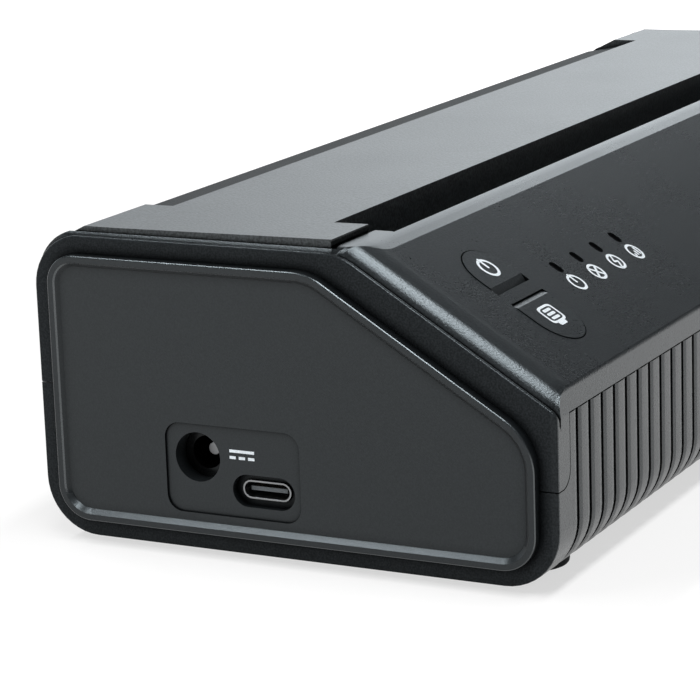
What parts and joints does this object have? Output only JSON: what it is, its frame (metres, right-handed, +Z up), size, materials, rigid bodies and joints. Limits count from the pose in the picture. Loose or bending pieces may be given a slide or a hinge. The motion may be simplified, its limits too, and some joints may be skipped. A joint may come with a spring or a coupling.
{
  "type": "portable printer",
  "caption": "Long black portable thermal printer with a hinged top lid, a paper slot, a sloped control panel with buttons, a ribbed front and ports in one end.",
  "frame": {"origin": "on the table under the middle of the printer, at the height of the rubber feet's lower faces", "axes": "+X along the length away from the port end, +Y from the ribbed front to the hinge side, +Z up"},
  "size_m": [0.262, 0.094, 0.0542],
  "materials": {
    "case_plastic": "fine moulded grain",
    "panel_plastic": "smooth satin",
    "lid_plastic": "fine moulded grain",
    "button_plastic": "satin",
    "smoked_plastic": "dark clear",
    "inner_plastic": "moulded",
    "bush_plastic": "natural acetal",
    "gear_plastic": "natural acetal",
    "lamp_plastic": "diffuse lens",
    "foot_rubber": "dull",
    "platen_rubber": "ground",
    "bright_steel": "drawn",
    "dark_steel": "black zinc",
    "sheet_steel": "zinc plated",
    "sink_aluminium": "extruded",
    "head_ceramic": "glazed plate",
    "pinion_brass": "machined",
    "cell_sleeve": "shrunk sleeve",
    "board_laminate": "solder mask"
  },
  "bodies": {
    "case": {"upper_case": "case_plastic", "lower_case": "case_plastic", "left_end_panel": "panel_plastic", "right_end_panel": "panel_plastic", "rubber_feet": "foot_rubber", "case_screws": "dark_steel", "hinge_pins": "bright_steel", "paper_bay": "inner_plastic", "left_side_frame": "sheet_steel", "right_side_frame": "sheet_steel", "head_bracket": "sheet_steel", "head_springs": "bright_steel", "battery_cells": "cell_sleeve", "battery_holder": "inner_plastic", "main_board": "board_laminate", "button_board": "board_laminate", "key_switches": "inner_plastic", "status_leds": "lamp_plastic", "light_pipes": "smoked_plastic", "usb_shell": "bright_steel", "usb_tongue": "inner_plastic", "dc_jack": "inner_plastic", "dc_pin": "bright_steel", "motor_body": "sheet_steel", "gear_posts": "bright_steel", "paper_sensor": "inner_plastic"},
    "lid": {"lid": "lid_plastic", "platen_bushes": "bush_plastic"},
    "platen": {"platen_shaft": "bright_steel", "platen_rubber": "platen_rubber", "platen_gear": "gear_plastic"},
    "idler_1": {"idler_gear_1": "gear_plastic"},
    "idler_2": {"idler_gear_2": "gear_plastic"},
    "motor_rotor": {"motor_shaft": "bright_steel", "motor_pinion": "pinion_brass"},
    "head": {"print_head": "head_ceramic", "head_heat_sink": "sink_aluminium"},
    "power_button": {"power_button": "button_plastic"},
    "battery_button": {"battery_button": "button_plastic"}
  },
  "joints": [
    {"name": "lid_hinge", "type": "hinge", "parent": "case", "child": "lid", "pos_m": [0, 0.0405, 0.0475], "axis": [-1, 0, 0], "range_deg": [0, 95]},
    {"name": "platen_spin", "type": "hinge", "parent": "lid", "child": "platen", "pos_m": [0, 0.005, 0.0453], "axis": [1, 0, 0], "continuous": true},
    {"name": "idler_1_spin", "type": "hinge", "parent": "case", "child": "idler_1", "pos_m": [0.1175, 0.00733, 0.03296], "axis": [1, 0, 0], "continuous": true},
    {"name": "idler_2_spin", "type": "hinge", "parent": "case", "child": "idler_2", "pos_m": [0.1175, -0.00419, 0.02581], "axis": [1, 0, 0], "continuous": true},
    {"name": "motor_spin", "type": "hinge", "parent": "case", "child": "motor_rotor", "pos_m": [0.1175, -0.01284, 0.02312], "axis": [1, 0, 0], "continuous": true},
    {"name": "head_slide", "type": "slide", "parent": "case", "child": "head", "axis": [0, 0, -1], "range_m": [0, 0.0008], "stiffness_N_per_m": 2000, "springref_m": -0.004, "deforming": ["head_springs"]},
    {"name": "power_press", "type": "slide", "parent": "case", "child": "power_button", "axis": [0, 0.527, -0.8499], "range_m": [0, 0.00075], "stiffness_N_per_m": 1000, "springref_m": -0.001},
    {"name": "battery_press", "type": "slide", "parent": "case", "child": "battery_button", "axis": [0, 0.527, -0.8499], "range_m": [0, 0.00075], "stiffness_N_per_m": 1000, "springref_m": -0.001}
  ],
  "couplings": [
    {"joint": "idler_1_spin", "follows": "platen_spin", "ratio": -0.66667},
    {"joint": "idler_2_spin", "follows": "platen_spin", "ratio": 0.83333},
    {"joint": "motor_spin", "follows": "platen_spin", "ratio": -1.6667}
  ]
}
